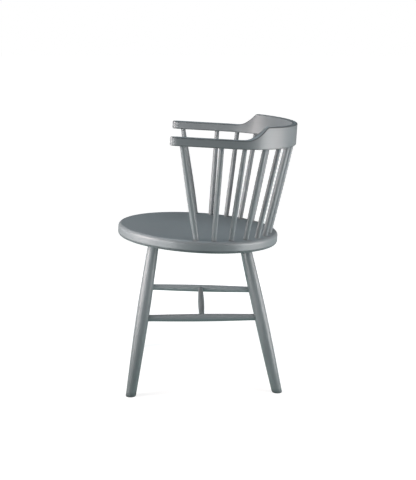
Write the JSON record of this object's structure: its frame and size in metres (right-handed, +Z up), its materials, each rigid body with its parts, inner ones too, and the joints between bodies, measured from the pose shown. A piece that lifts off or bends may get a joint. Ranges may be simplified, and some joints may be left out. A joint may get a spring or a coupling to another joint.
{
  "type": "spindle armchair",
  "caption": "Low-backed wooden spindle armchair: round flat seat, splayed turned legs on an H stretcher, turned back spindles and one bent rail, low along the arms and taller at the back.",
  "frame": {"origin": "on the floor, under the middle of the chair's bounding box", "axes": "+Z up, -Y the way the sitter faces, +X the sitter's left"},
  "size_m": [0.4866, 0.5112, 0.7368],
  "materials": {
    "painted_wood": "satin blue-grey paint over close-grained hardwood"
  },
  "bodies": {
    "root": {"seat": "painted_wood", "leg_front_left": "painted_wood", "leg_front_right": "painted_wood", "leg_rear_left": "painted_wood", "leg_rear_right": "painted_wood", "side_stretcher_left": "painted_wood", "side_stretcher_right": "painted_wood", "cross_stretcher": "painted_wood", "arm_post_left": "painted_wood", "arm_post_right": "painted_wood", "back_spindle_centre": "painted_wood", "back_spindle_left_1": "painted_wood", "back_spindle_left_2": "painted_wood", "back_spindle_left_3": "painted_wood", "back_spindle_left_4": "painted_wood", "back_spindle_left_5": "painted_wood", "back_spindle_left_6": "painted_wood", "back_spindle_right_1": "painted_wood", "back_spindle_right_2": "painted_wood", "back_spindle_right_3": "painted_wood", "back_spindle_right_4": "painted_wood", "back_spindle_right_5": "painted_wood", "back_spindle_right_6": "painted_wood", "arm_rail": "painted_wood"}
  },
  "joints": []
}
